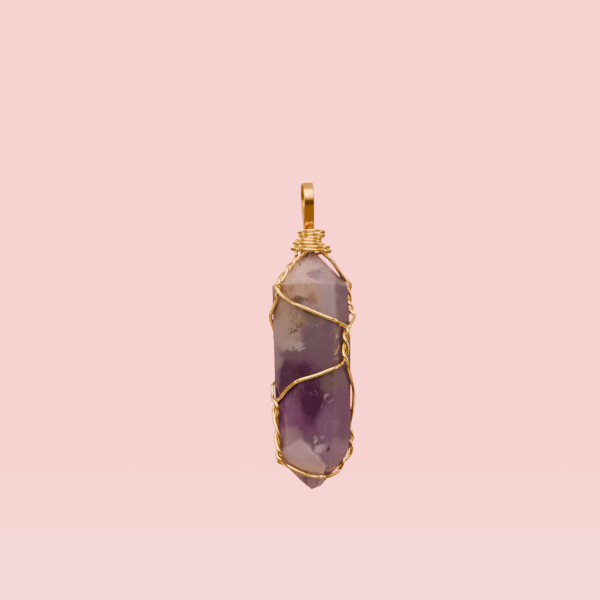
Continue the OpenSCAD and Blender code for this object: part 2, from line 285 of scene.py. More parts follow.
class Graph:
    """A node tree that nodes are added to by type."""

    def __init__(self, tree):
        self.tree = tree

    def node(self, kind, settings=None, inputs=None, output=0):
        """Adds a node, sets its settings and then its inputs, and gives one of its outputs."""
        made = self.tree.nodes.new(kind)
        for name, value in (settings or {}).items():
            setattr(made, name, value)
        for key, value in (inputs or {}).items():
            if isinstance(value, Socket):
                self.tree.links.new(value.output, made.inputs[key])
            else:
                made.inputs[key].default_value = value
        return Socket(self, made.outputs[output])

    def math(self, operation, *values):
        return self.node("ShaderNodeMath", {"operation": operation}, dict(enumerate(values)))

    def vector(self, operation, first, second, output=0):
        settings = {"operation": operation}
        return self.node("ShaderNodeVectorMath", settings, {0: first, 1: second}, output)

    def scaled(self, vector, factor):
        """A vector or a colour times a number."""
        inputs = {"Vector": vector, "Scale": factor}
        return self.node("ShaderNodeVectorMath", {"operation": "SCALE"}, inputs)

    def part(self, vector, axis):
        """The X, Y or Z of a vector."""
        return self.node("ShaderNodeSeparateXYZ", None, {"Vector": vector}, axis)

    def ease(self, value, low, high):
        """0 below low, 1 above high, and a smooth step between them."""
        inputs = {"Value": value, "From Min": low, "From Max": high}
        return self.node("ShaderNodeMapRange", {"interpolation_type": "SMOOTHSTEP"}, inputs)

    def noise(self, place, scale, detail=2.0, roughness=0.5, distortion=0.0):
        inputs = {"Vector": place, "Scale": scale, "Detail": detail, "Roughness": roughness,
                  "Distortion": distortion}
        return self.node("ShaderNodeTexNoise", None, inputs)

    def blend(self, mask, first, second, blend_type="MIX"):
        """Colour first, turned into second where the mask is 1."""
        settings = {"data_type": "RGBA", "blend_type": blend_type, "clamp_factor": True}
        inputs = {"Factor": mask, "A": first, "B": second}
        return self.node("ShaderNodeMix", settings, inputs, "Result")


def rgb(red, green, blue):
    return (red, green, blue, 1.0)


# Curves

def towards(a, b, scale):
    """Length from one row to another."""
    return max(LEAST_LENGTH, float(np.linalg.norm((b - a) * scale)))


def row_slope(rows, i, scale):
    """Slope at a row: the mean of the slopes on its two sides, drawn to the shorter side's."""
    before = max(i - 1, 0)
    after = min(i + 1, len(rows) - 1)
    if i == before:
        return (rows[after] - rows[i]) / towards(rows[i], rows[after], scale)
    if i == after:
        return (rows[i] - rows[before]) / towards(rows[before], rows[i], scale)
    d0 = towards(rows[before], rows[i], scale)
    d1 = towards(rows[i], rows[after], scale)
    return ((rows[i] - rows[before]) / d0 * d1 + (rows[after] - rows[i]) / d1 * d0) / (d0 + d1)


def smooth(rows, scale, steps):
    """Smooth curve through rows of any columns, its slopes set by the rows on both sides."""
    rows = np.array(rows, float)
    scale = np.array(scale)
    steps = np.broadcast_to(steps, len(rows))
    out = []
    for i in range(len(rows) - 1):
        a, b = rows[i], rows[i + 1]
        d = towards(a, b, scale)
        ma = row_slope(rows, i, scale) * d
        mb = row_slope(rows, i + 1, scale) * d
        n = math.ceil(d / min(steps[i], steps[i + 1])) * RINGS_A_STEP
        for t in np.arange(n) / n:
            out.append(a * (2 * t**3 - 3 * t**2 + 1) + ma * (t**3 - 2 * t**2 + t)
                       + b * (3 * t**2 - 2 * t**3) + mb * (t**3 - t**2))
    out.append(rows[-1])
    return np.array(out)


# Seat of the wires: the crystal's surface moved outwards, its edges rounded by a power mean

FACE_AZ, FACE_TIP = np.radians(CRYSTAL_FACES[:, 0]), np.radians(CRYSTAL_FACES[:, 1])
FACE_OUT, FACE_AT = CRYSTAL_FACES[:, 2], CRYSTAL_FACES[:, 3]
FACE_NORMALS = np.stack([
    np.sin(FACE_AZ) * np.cos(FACE_TIP),
    -np.cos(FACE_AZ) * np.cos(FACE_TIP),
    np.sin(FACE_TIP),
], axis=1)
FACE_POINTS = np.stack([
    CRYSTAL_X + FACE_OUT * np.sin(FACE_AZ),
    -FACE_OUT * np.cos(FACE_AZ),
    FACE_AT,
], axis=1)


def seat(azimuth, z, off):
    """Point off the crystal at an azimuth and height, and the outward normal there."""
    az = math.radians(azimuth)
    across = np.cos(az - FACE_AZ)
    reach = FACE_OUT * np.cos(FACE_TIP) + off - (z - FACE_AT) * np.sin(FACE_TIP)
    reach = reach / (np.cos(FACE_TIP) * np.maximum(across, FACING))
    radii = np.where(across < FACING, FAR_OFF, np.maximum(reach, LEAST_SEAT))
    weights = radii ** -SEAT_POWER
    r = weights.sum() ** (-1 / SEAT_POWER)
    normal = weights @ FACE_NORMALS
    point = np.array([CRYSTAL_X + r * math.sin(az), -r * math.cos(az), z])
    return point, normal / np.linalg.norm(normal)


def route_point(row):
    """Point of a route: its seat, moved sideways and outwards round the pair's middle."""
    azimuth, z, lift, spread, phase = row
    spread = max(0, spread)
    depth = min(spread, TWIST_R)
    off = lift + SINGLE_OFF + (PAIR_OFF - SINGLE_OFF) * depth / TWIST_R
    point, normal = seat(azimuth, z, off)
    side = np.cross(normal, [0, 0, -1])
    side = side / np.linalg.norm(side)
    turn = math.radians(phase)
    return point + depth * math.cos(turn) * normal + spread * math.sin(turn) * side


def strand(twist, which, turns=0, spread=TWIST_R):
    """Strand 0 or 1 of a twist, as rows of a route whose azimuths are turned back."""
    return [[r[0] - 360 * turns, r[1], 0, r[3] if len(r) > 3 else spread, r[2] + 180 * which]
            for r in twist]


def joined(before, rows, after):
    """A single strand, whose phases carry on from the twist before it and lead to the one after."""
    half = len(rows) / 2
    return [[*row, 0, before[-1][4] if i < half else after[0][4]] for i, row in enumerate(rows)]


def lifted(points):
    """The points, moved softly outwards where the wire would cut into an edge of the crystal."""
    depth = (points @ FACE_NORMALS.T - (FACE_POINTS * FACE_NORMALS).sum(axis=1)).max(axis=1)
    lack = np.maximum(WIRE_R - depth, 0) / EDGE_SLANT
    reach = range(-LIFT_STEPS, LIFT_STEPS + 1)
    widest = np.max([np.roll(lack, step) for step in reach], axis=0)
    window = np.hanning(2 * LIFT_STEPS + 3)
    lift = np.convolve(widest, window / window.sum(), "same")
    outward = (points - [CRYSTAL_X, 0, 0]) * [1, 1, 0]
    return points + lift[:, None] * outward / np.linalg.norm(outward, axis=1)[:, None]


def on_crystal(rows):
    """Points along a route, whose single strands bend over the crystal's edges in easy curves."""
    steps = [TWIST_STEP if r[3] > 0 else SINGLE_STEP for r in rows]
    rows = smooth(rows, ROUTE_SCALE, steps)
    points = np.array([route_point(r) for r in rows])
    # 1 on a single strand, and fading fast towards a twist
    single = np.clip(1 - rows[1:-1, 3:4] / TWIST_R, 0, 1) ** 4
    for _ in range(EASING_PASSES):
        points[1:-1] += single * (points[:-2] - 2 * points[1:-1] + points[2:]) / 4
    return lifted(points)


def end_blend(end_rows, body):
    """An end inside the collar, blended into the seated part of the wire."""
    # The stretch from near to far only steers the curve, and is cut off again.
    near, far = body[0], body[2 * RINGS_A_STEP]
    fine = smooth([*end_rows, near, far], POINT_SCALE, SINGLE_STEP)
    n = math.ceil(towards(near, far, np.array(POINT_SCALE)) / SINGLE_STEP) * RINGS_A_STEP
    return fine[:len(fine) - n - 1]


def whole_wire(start_rows, parts, end_rows):
    """A cage wire's centre line: its two ends in the collar, and its parts on the crystal."""
    rows = []
    for i, part in enumerate(parts):
        # A single strand's rows have three columns, a twist's have all five.
        rows += joined(parts[i - 1], part, parts[i + 1]) if len(part[0]) == 3 else part
    body = on_crystal(rows)
    start = end_blend(start_rows, body)
    end = end_blend(end_rows, body[::-1])[::-1]
    return np.concatenate([start, body, end])


def cage_paths():
    """Centre lines of the front wire and of the back wire."""
    front = [
        strand(LEFT_TOP_TWIST, 1), UPPER_DIAGONAL,
        strand(FRONT_TWIST, 0, spread=OPEN_R), RIGHT_DESCENT,
        strand(RIGHT_LOW_TWIST, 0), FRONT_RING,
        strand(LEFT_LOW_TWIST, 1, spread=OPEN_R)[::-1], LOWER_DIAGONAL,
        strand(FRONT_TWIST, 1, spread=OPEN_R)[::-1], RIGHT_ENTRY,
        strand(RIGHT_TOP_TWIST, 1)[::-1],
    ]
    back = [
        strand(LEFT_TOP_TWIST, 0), LEFT_BACK_DIAGONAL,
        strand(BACK_TWIST, 1, spread=OPEN_R), BACK_TO_RIGHT,
        strand(RIGHT_LOW_TWIST, 1, turns=1), BACK_RING,
        strand(LEFT_LOW_TWIST, 0, spread=OPEN_R)[::-1], BACK_TO_LEFT,
        strand(BACK_TWIST, 0, spread=OPEN_R)[::-1], RIGHT_BACK_DIAGONAL,
        strand(RIGHT_TOP_TWIST, 0, turns=1)[::-1],
    ]
    return (whole_wire(LEFT_NEAR_END, front, RIGHT_FAR_END),
            whole_wire(LEFT_FAR_END, back, RIGHT_NEAR_END))


def coil_path(turns):
    """A binding wire's centre line round the collar."""
    rows = smooth(turns, COIL_SCALE, BINDING_STEP)
    angle, radius, height = rows[:, 0] * 2 * math.pi, rows[:, 1], rows[:, 2]
    return np.stack([COLLAR_X + radius * np.sin(angle), -radius * np.cos(angle), height], axis=1)


def rounded_ends(path, radius):
    """The path with close rings at its ends, and the girth that makes each end a dome."""
    domes = np.array(DOME_RINGS)
    girth = np.sqrt(1 - (1 - domes) ** 2)
    girth[0] = TIP_GIRTH
    ahead = (path[1] - path[0]) / np.linalg.norm(path[1] - path[0])
    back = (path[-2] - path[-1]) / np.linalg.norm(path[-2] - path[-1])
    start = path[0] + ahead * domes[:, None] * radius
    end = path[-1] + back * domes[::-1, None] * radius
    travel = np.concatenate([[0], np.linalg.norm(np.diff(path, axis=0), axis=1).cumsum()])
    keep = (travel > radius) & (travel < travel[-1] - radius)
    middle = path[keep]
    return (np.concatenate([start, middle, end]),
            np.concatenate([girth, np.ones(len(middle)), girth[::-1]]))


# Objects

def new_object(name, data):
    thing = bpy.data.objects.new(name, data)
    bpy.context.scene.collection.objects.link(thing)
    return thing


def polyline(name, points, girth):
    """A line of edges in metres, with a girth for each point."""
    mesh = bpy.data.meshes.new(name)
    edges = [(i, i + 1) for i in range(len(points) - 1)]
    mesh.from_pydata([tuple(p) for p in points * MM], edges, [])
    mesh.attributes.new("girth", "FLOAT", "POINT").data.foreach_set("value", girth)
    return new_object(name, mesh)


def finished(thing, name):
    """The evaluated object as a plain mesh, in place of the object it was made from."""
    evaluated = thing.evaluated_get(bpy.context.evaluated_depsgraph_get())
    mesh = bpy.data.meshes.new_from_object(evaluated)
    mesh.name = name
    plain = new_object(name, mesh)
    bpy.data.objects.remove(thing)
    return plain


def grown(thing, group, values, name):
    """The object with a geometry nodes group, its named inputs set, made a plain mesh."""
    modifier = thing.modifiers.new(group.name, "NODES")
    modifier.node_group = group
    for item in group.interface.items_tree:
        if item.in_out == "INPUT" and item.name in values:
            modifier[item.identifier] = values[item.name]
    return finished(thing, name)


def node_group(name, inputs):
    """A geometry nodes group with a geometry in and out, and its named inputs as sockets."""
    tree = bpy.data.node_groups.new(name, "GeometryNodeTree")
    tree.interface.new_socket("Geometry", in_out="INPUT", socket_type="NodeSocketGeometry")
    tree.interface.new_socket("Geometry", in_out="OUTPUT", socket_type="NodeSocketGeometry")
    for label, kind in inputs.items():
        tree.interface.new_socket(label, in_out="INPUT", socket_type="NodeSocket" + kind)
    graph = Graph(tree)
    start = tree.nodes.new("NodeGroupInput")
    sockets = {o.name: Socket(graph, o) for o in start.outputs if o.name}
    return graph, sockets


def close_group(graph, geometry, material):
    """Ends a group: instances realized, smooth shading and the material."""
    shaded = graph.node("GeometryNodeSetShadeSmooth", None, {"Geometry": geometry})
    real = graph.node("GeometryNodeRealizeInstances", None, {"Geometry": shaded})
    coated = graph.node("GeometryNodeSetMaterial", None, {"Geometry": real, "Material": material})
    end = graph.tree.nodes.new("NodeGroupOutput")
    graph.tree.links.new(coated.output, end.inputs[0])
    return graph.tree


def marked(graph, curve, name, output):
    """A curve whose points carry how far along it they lie, under a name that the gold reads."""
    value = graph.node("GeometryNodeSplineParameter", output=output)
    return graph.node("GeometryNodeStoreNamedAttribute", {"data_type": "FLOAT", "domain": "POINT"},
                      {"Geometry": curve, "Name": name, "Value": value})


def swept(graph, line, profile):
    """The profile swept along the line, as wide at each point as its girth says."""
    girth = graph.node("GeometryNodeInputNamedAttribute", {"data_type": "FLOAT"}, {"Name": "girth"})
    return graph.node("GeometryNodeCurveToMesh", None,
                      {"Curve": line, "Profile Curve": profile, "Scale": girth, "Fill Caps": True})


def wire_group():
    """Round wire along a line of edges: a circle swept along it, and made slightly uneven."""
    graph, given = node_group("round_wire", {
        "Radius": "Float", "Sides": "Int", "Wobble": "Float", "Wobble length": "Float",
        "Material": "Material",
    })
    line = graph.node("GeometryNodeMeshToCurve", None, {"Mesh": given["Geometry"]})
    ring = graph.node("GeometryNodeCurvePrimitiveCircle", None,
                      {"Resolution": given["Sides"], "Radius": given["Radius"]})
    tube = swept(graph, marked(graph, line, "along", "Length"),
                 marked(graph, ring, "round", "Factor"))
    place = graph.node("GeometryNodeInputPosition")
    bumps = graph.noise(place, 1 / given["Wobble length"], 1.0) - 0.5
    push = graph.scaled(graph.node("GeometryNodeInputNormal"), bumps * given["Wobble"] * 2)
    uneven = graph.node("GeometryNodeSetPosition", None, {"Geometry": tube, "Offset": push})
    return close_group(graph, uneven, given["Material"])


def bail_group():
    """Strap along a line of edges: a rounded bar swept along it, whose outer face is dished."""
    graph, given = node_group("strap", {
        "Width": "Float", "Thickness": "Float", "Rounding": "Float", "Dish": "Float",
        "Foot": "Vector", "Lean": "Vector", "Material": "Material",
    })
    line = graph.node("GeometryNodeMeshToCurve", None, {"Mesh": given["Geometry"]})
    line = graph.node("GeometryNodeSetCurveNormal", {"mode": "FREE"},
                      {"Curve": line, "Normal": (1, 0, 0)})
    bar = graph.node("GeometryNodeCurvePrimitiveQuadrilateral", None,
                     {"Width": given["Width"], "Height": given["Thickness"]})
    bar = graph.node("GeometryNodeFilletCurve", {"mode": "POLY"},
                     {"Curve": bar, "Count": CORNER_STEPS, "Radius": given["Rounding"]})
    bar = graph.node("GeometryNodeResampleCurve", None, {"Curve": bar, "Count": SECTION_STEPS})
    place = graph.node("GeometryNodeInputPosition")
    across = graph.part(place, "X") / given["Width"] * 2
    outer = graph.ease(graph.part(place, "Y"), 0.0, 0.1 * MM)
    hollow = graph.ease(1 - across * across, 0.0, 0.9) * given["Dish"] * outer
    sink = graph.node("ShaderNodeCombineXYZ", None, {"Y": hollow * -1})
    bar = graph.node("GeometryNodeSetPosition", None, {"Geometry": bar, "Offset": sink})
    strap = swept(graph, line, bar)
    # The strap leans about its foot, which is moved to the origin and back.
    up = graph.vector("SUBTRACT", (0, 0, 0), given["Foot"])
    strap = graph.node("GeometryNodeTransform", None, {"Geometry": strap, "Translation": up})
    strap = graph.node("GeometryNodeTransform", None,
                       {"Geometry": strap, "Translation": given["Foot"], "Rotation": given["Lean"]})
    return close_group(graph, strap, given["Material"])


# Materials

def new_material(name):
    material = bpy.data.materials.new(name)
    material.use_nodes = True
    tree = material.node_tree
    return material, Graph(tree), tree.nodes["Principled BSDF"]


def feed(graph, shader, **values):
    """Sets the shader's sockets, by names with spaces written as underscores."""
    for name, value in values.items():
        socket = shader.inputs[name.replace("_", " ")]
        if isinstance(value, Socket):
            graph.tree.links.new(value.output, socket)
        else:
            socket.default_value = value


def millimetres(graph):
    """The place on a piece in millimetres, so that a pattern of scale 1 is about 1 mm wide."""
    place = graph.node("ShaderNodeTexCoord", output="Object")
    return graph.node("ShaderNodeMapping", None, {"Vector": place, "Scale": (1 / MM,) * 3})


# Drawing marks on the wires: how many round a wire, and how many in a metre of it
MARKS_ROUND = 34
MARKS_A_METRE = 220


def gold_material(name, tone, deep, roughness, draw_marks=True):
    """Polished gold plate over brass: an uneven polish, warmer low spots and fine drawing marks."""
    material, graph, shader = new_material(name)
    place = millimetres(graph)
    cloud = graph.noise(place, 0.55, 3.0)
    fine = graph.noise(place, 5.0, 3.0, 0.6)
    colour = graph.blend(graph.ease(cloud, 0.35, 0.7), tone, deep)
    uneven = graph.ease(cloud, 0.3, 0.75) * 0.08 + graph.ease(fine, 0.4, 0.8) * 0.06 + roughness
    relief = graph.noise(place, 1.6, 2.0) * 0.7 + fine * 0.12
    if draw_marks:
        around = graph.node("ShaderNodeAttribute", {"attribute_name": "round"}, output="Fac")
        along = graph.node("ShaderNodeAttribute", {"attribute_name": "along"}, output="Fac")
        lines = graph.node("ShaderNodeCombineXYZ", None,
                           {"X": around * MARKS_ROUND, "Y": along * MARKS_A_METRE})
        relief = relief + graph.noise(lines, 1.0, 2.0) * 0.06
    bump = graph.node("ShaderNodeBump", None,
                      {"Strength": 0.16, "Distance": 0.04 * MM, "Height": relief})
    feed(graph, shader, Base_Color=colour, Metallic=1.0, Roughness=uneven, Normal=bump)
    return material


# Colours of the stone
CAP_ROSE = rgb(0.48, 0.246, 0.205)
CAP_PALE = rgb(0.5, 0.251, 0.255)
# The next two are the cap's own grey and dark colours, and are also used as painted shadow under
# the collar
CAP_GREY_AND_SHADOW = rgb(0.235, 0.144, 0.165)
CAP_DARK_AND_SHADOW = rgb(0.085, 0.048, 0.09)
BRUISE = rgb(0.15, 0.086, 0.12)
LILAC = rgb(0.2, 0.123, 0.14)
ROSY_BEIGE = rgb(0.29, 0.155, 0.105)
BEIGE = rgb(0.25, 0.134, 0.1)
TAN = rgb(0.15, 0.083, 0.055)
RUST = rgb(0.25, 0.128, 0.09)
UMBER = rgb(0.07, 0.04, 0.032)
OLIVE = rgb(0.085, 0.05, 0.034)
MOSS = rgb(0.075, 0.059, 0.045)
# Painted reflection of the right twisted wire in the bevel face beside it
WIRE_REFLECTION_GREEN = rgb(0.062, 0.045, 0.055)
SLATE = rgb(0.155, 0.096, 0.115)
CLOUD = rgb(0.235, 0.139, 0.13)
CLOUD_CORE = rgb(0.24, 0.161, 0.16)
GREY_VIOLET = rgb(0.072, 0.039, 0.058)
SMOKE = rgb(0.068, 0.04, 0.048)
DUSK = rgb(0.075, 0.035, 0.058)
PLUM = rgb(0.055, 0.012, 0.044)
ROSE_PLUM = rgb(0.085, 0.021, 0.062)
RED_VIOLET = rgb(0.066, 0.022, 0.060)
INDIGO = rgb(0.035, 0.003, 0.036)
DEEP_VIOLET = rgb(0.030, 0.002, 0.024)
BRIGHT_VIOLET = rgb(0.12, 0.039, 0.12)
SOFT_VIOLET = rgb(0.093, 0.038, 0.080)
# The foot's pale facet: partly its own colour, partly painted light from below
FOOT_LILAC_AND_LIGHT = rgb(0.335, 0.193, 0.205)
FOOT_BEIGE_AND_LIGHT = rgb(0.34, 0.182, 0.145)
FOOT_PALE = rgb(0.34, 0.182, 0.23)
FOOT_MAUVE = rgb(0.125, 0.057, 0.095)
FOOT_EDGE = rgb(0.185, 0.096, 0.135)
TIP_GREY = rgb(0.170, 0.097, 0.105)
TIP_DARK = rgb(0.1, 0.048, 0.05)
VEIL = rgb(0.50, 0.33, 0.38)
DARK_SPECK = rgb(0.035, 0.014, 0.018)

# Zones of the stone, from the cap down: middle (x, z), half width and half height, in millimetres;
# softness of the rim, strength and colour
ZONES = [
    (-3.2, -18.0, 2.6, 2.2, 1.0, 0.8, CAP_PALE),
    # Painted shadow: this zone and the next darken the top of the cap under the collar
    (0.0, -15.0, 3.0, 1.3, 0.9, 0.8, CAP_GREY_AND_SHADOW),
    (0.2, -13.7, 2.6, 0.9, 0.9, 0.85, CAP_DARK_AND_SHADOW),
    (4.2, -18.6, 3.2, 3.0, 0.9, 0.9, CAP_GREY_AND_SHADOW),
    (6.9, -19.6, 2.6, 2.8, 0.7, 0.95, CAP_DARK_AND_SHADOW),
    (0.3, -18.6, 1.5, 1.0, 1.0, 0.8, BRUISE),
    (-5.0, -22.0, 3.2, 2.6, 1.0, 0.95, ROSY_BEIGE),
    (-1.0, -21.4, 2.6, 1.2, 0.9, 0.8, ROSY_BEIGE),
    (0.1, -22.8, 1.7, 1.5, 0.9, 0.8, RUST),
    (-2.8, -23.7, 1.2, 0.8, 1.0, 0.9, UMBER),
    (-0.5, -23.5, 0.9, 0.9, 1.0, 0.5, UMBER),
    (6.8, -24.5, 2.5, 5.5, 0.8, 0.9, GREY_VIOLET),
    (-5.6, -26.9, 2.9, 3.2, 0.9, 0.95, BEIGE),
    (-7.2, -25.6, 1.4, 2.6, 0.9, 0.8, TAN),
    (-2.6, -25.8, 1.2, 0.8, 1.0, 0.35, DUSK),
    (-0.4, -26.8, 2.2, 1.4, 0.9, 0.9, OLIVE),
    (-7.6, -29.5, 0.7, 8.0, 0.9, 0.6, GREY_VIOLET),
    (-3.0, -28.4, 1.6, 1.3, 0.9, 0.8, TAN),
    (1.5, -31.2, 3.9, 3.8, 0.6, 0.95, GREY_VIOLET),
    (-6.0, -30.6, 3.3, 3.3, 0.9, 0.95, CLOUD),
    (-3.9, -32.5, 1.7, 1.0, 0.9, 0.8, CLOUD_CORE),
    (-5.0, -35.2, 2.8, 1.4, 0.9, 0.85, DUSK),
    (1.8, -35.8, 3.0, 1.8, 0.8, 0.6, DUSK),
    (-2.0, -42.5, 5.4, 7.0, 0.6, 0.95, PLUM),
    (-4.9, -38.4, 2.7, 2.4, 0.9, 0.95, INDIGO),
    (-1.9, -37.6, 1.7, 1.6, 1.0, 0.85, DEEP_VIOLET),
    (0.3, -43.4, 2.9, 4.3, 0.8, 0.97, DEEP_VIOLET),
    (-7.7, -35.6, 1.8, 3.6, 1.0, 0.8, LILAC),
    (-3.2, -46.8, 2.0, 1.6, 1.0, 0.75, ROSE_PLUM),
    (-4.7, -45.4, 2.2, 3.0, 1.0, 0.6, BRIGHT_VIOLET),
    (-4.8, -48.8, 1.8, 1.4, 1.0, 0.85, BRIGHT_VIOLET),
    (-1.4, -49.3, 2.4, 1.2, 1.0, 0.7, ROSE_PLUM),
    (3.6, -39.6, 1.7, 2.6, 0.9, 0.85, SMOKE),
    (5.8, -45.6, 2.8, 5.0, 0.8, 0.9, RED_VIOLET),
    (2.9, -47.6, 2.1, 3.4, 0.9, 0.85, SOFT_VIOLET),
    (1.7, -52.7, 1.2, 0.9, 1.0, 0.85, FOOT_PALE),
    (4.8, -53.8, 3.2, 3.0, 0.8, 0.9, FOOT_MAUVE),
    (-4.8, -51.0, 2.6, 2.6, 1.0, 0.9, FOOT_EDGE),
    # Painted reflection: a dark grey-green strip where the right twisted wire is mirrored in the
    # bevel face
    (5.0, -32.0, 0.5, 4.5, 0.8, 0.8, WIRE_REFLECTION_GREEN),
    (6.6, -32.5, 1.2, 4.0, 0.9, 0.6, DUSK),
    (3.3, -53.0, 0.42, 0.5, 0.8, 0.95, DARK_SPECK),
    (3.2, -51.2, 0.3, 0.3, 0.8, 0.5, DARK_SPECK),
    (-2.1, -16.4, 0.24, 0.2, 0.8, 0.8, UMBER),
]
# Mottled patches with ragged blots in them: middle (x, z), half width and half height,
# how much of the patch the blots fill, and their strength and colour
MOTTLES = [
    (-3.2, -22.3, 1.8, 1.1, 0.6, 0.35, RUST),
    (-2.6, -23.6, 1.5, 0.9, 0.7, 0.75, UMBER),
    (-0.1, -22.9, 1.6, 1.5, 0.6, 0.22, UMBER),
    (-1.2, -21.2, 2.2, 0.8, 0.45, 0.3, UMBER),
    (-1.2, -25.3, 2.2, 0.9, 0.6, 0.4, DUSK),
    (1.8, -25.6, 2.4, 1.1, 0.6, 0.5, SLATE),
    (-3.8, -26.0, 1.5, 1.2, 0.6, 0.5, OLIVE),
    (-0.1, -27.0, 2.2, 1.5, 0.8, 0.7, MOSS),
    (-2.9, -28.0, 1.6, 1.2, 0.6, 0.5, OLIVE),
    (0.2, -28.6, 1.6, 0.8, 0.5, 0.5, LILAC),
    (-4.6, -24.9, 1.3, 0.9, 0.6, 0.5, SLATE),
    (-3.4, -29.4, 1.7, 1.0, 0.35, 0.8, UMBER),
    (0.5, -18.6, 1.7, 1.2, 0.5, 0.65, CAP_DARK_AND_SHADOW),
    (-3.2, -18.4, 2.2, 1.6, 0.5, 0.3, CAP_GREY_AND_SHADOW),
    (2.6, -17.8, 1.8, 1.8, 0.6, 0.3, BRUISE),
    (-4.6, -21.5, 1.4, 0.7, 0.6, 0.5, UMBER),
    (0.7, -23.6, 1.2, 0.9, 0.6, 0.4, TAN),
    (-4.4, -33.2, 1.2, 0.7, 0.45, 0.7, UMBER),
    (3.2, -20.0, 1.8, 0.6, 0.5, 0.8, CAP_PALE),
    (3.4, -38.5, 1.6, 2.8, 0.5, 0.5, UMBER),
    (2.8, -43.6, 2.6, 1.6, 0.3, 0.1, VEIL),
    (1.2, -50.6, 1.6, 1.0, 0.3, 0.15, VEIL),
]
# Cracks: a point (x, z) on them, tilt, thickness, reach, strength and colour
CRACKS = [
    (-3.1, -29.3, 38, 0.34, 1.9, 0.95, UMBER),
    (-3.9, -29.9, 12, 0.3, 1.1, 0.8, UMBER),
    (-2.0, -28.9, 8, 0.2, 0.9, 0.6, UMBER),
    (-1.6, -25.4, -40, 0.18, 1.2, 0.5, UMBER),
    (-6.7, -37.2, 78, 0.3, 1.6, 0.5, VEIL),
    (-2.4, -33.5, 25, 0.2, 1.1, 0.4, VEIL),
    (2.6, -42.2, 24, 0.3, 1.0, 0.3, VEIL),
    (0.7, -51.2, 60, 0.22, 0.8, 0.45, VEIL),
]
# Row of the crystal's faces that holds the pale one at the foot's left, which is paler partly in
# its own colour and partly as painted light from below
LOWER_LEFT_FACE = 14
# Heights between which one colour turns into the next, from below
TIP_EDGE = (-58.3, -57.6)
FOOT_WARMTH = (-56.5, -53.5)
FOOT_FADE = (-53, -49)
WAIST = (-30, -26)
UPPER_HALF = (-31, -27)
CAP_EDGE = (-20.4, -20.0)
# Depths (y) between which the cracks fade out, and the zones start to wander up and down, and
# how far they wander
CRACK_DEPTH = (-5.5, -3.0)
SWAY_DEPTH = (-6.5, 3.0)
SWAY = 16


def spot(graph, u, v, x, z, wide, high, soft):
    """1 inside a round patch centred at x, z, and 0 outside it."""
    across = (u - x) / wide
    up = (v - z) / high
    return 1 - graph.ease(across * across + up * up, 1 - soft, 1 + soft)


def shaken(graph, place, size, amount, detail=2.0):
    """The place moved by a noise of that size, in millimetres."""
    push = graph.node("ShaderNodeTexNoise", None,
                      {"Vector": place, "Scale": 1 / size, "Detail": detail}, "Color")
    push = graph.vector("SUBTRACT", push, (0.5, 0.5, 0.5))
    push = graph.vector("MULTIPLY", push, (2 * amount, 2 * amount, 2 * amount))
    return graph.vector("ADD", place, push)


def depth_under(graph, place, face):
    """Millimetres under a face of the crystal."""
    above = graph.vector("SUBTRACT", tuple(FACE_POINTS[face]), place)
    return graph.vector("DOT_PRODUCT", above, tuple(FACE_NORMALS[face]), "Value")


def flecks(graph, place, scale, size):
    """Small scattered specks: 1 in their middle."""
    near = graph.node("ShaderNodeTexVoronoi", {"feature": "F1"}, {"Vector": place, "Scale": scale})
    return 1 - graph.ease(near, size * 0.5, size)


def sheet(graph, place, through, tilt, thickness, reach):
    """A healed crack seen edge on: a thin tilted line through a point, fading at its ends."""
    side, rise = math.cos(math.radians(tilt)), math.sin(math.radians(tilt))
    x, z = through
    across = graph.vector("DOT_PRODUCT", place, (-rise, 0, side), "Value") - (z * side - x * rise)
    along = graph.vector("DOT_PRODUCT", place, (side, 0, rise), "Value") - (x * side + z * rise)
    thin = 1 - graph.ease(across.math("ABSOLUTE"), 0.0, thickness)
    return thin * (1 - graph.ease(along.math("ABSOLUTE"), reach * 0.4, reach))


def veins(graph, place, scale, width, detail):
    """Thin wandering lines, where a noise passes through its middle."""
    off = (graph.noise(place, scale, detail, 0.55) - 0.5).math("ABSOLUTE")
    return 1 - graph.ease(off, 0.0, width)


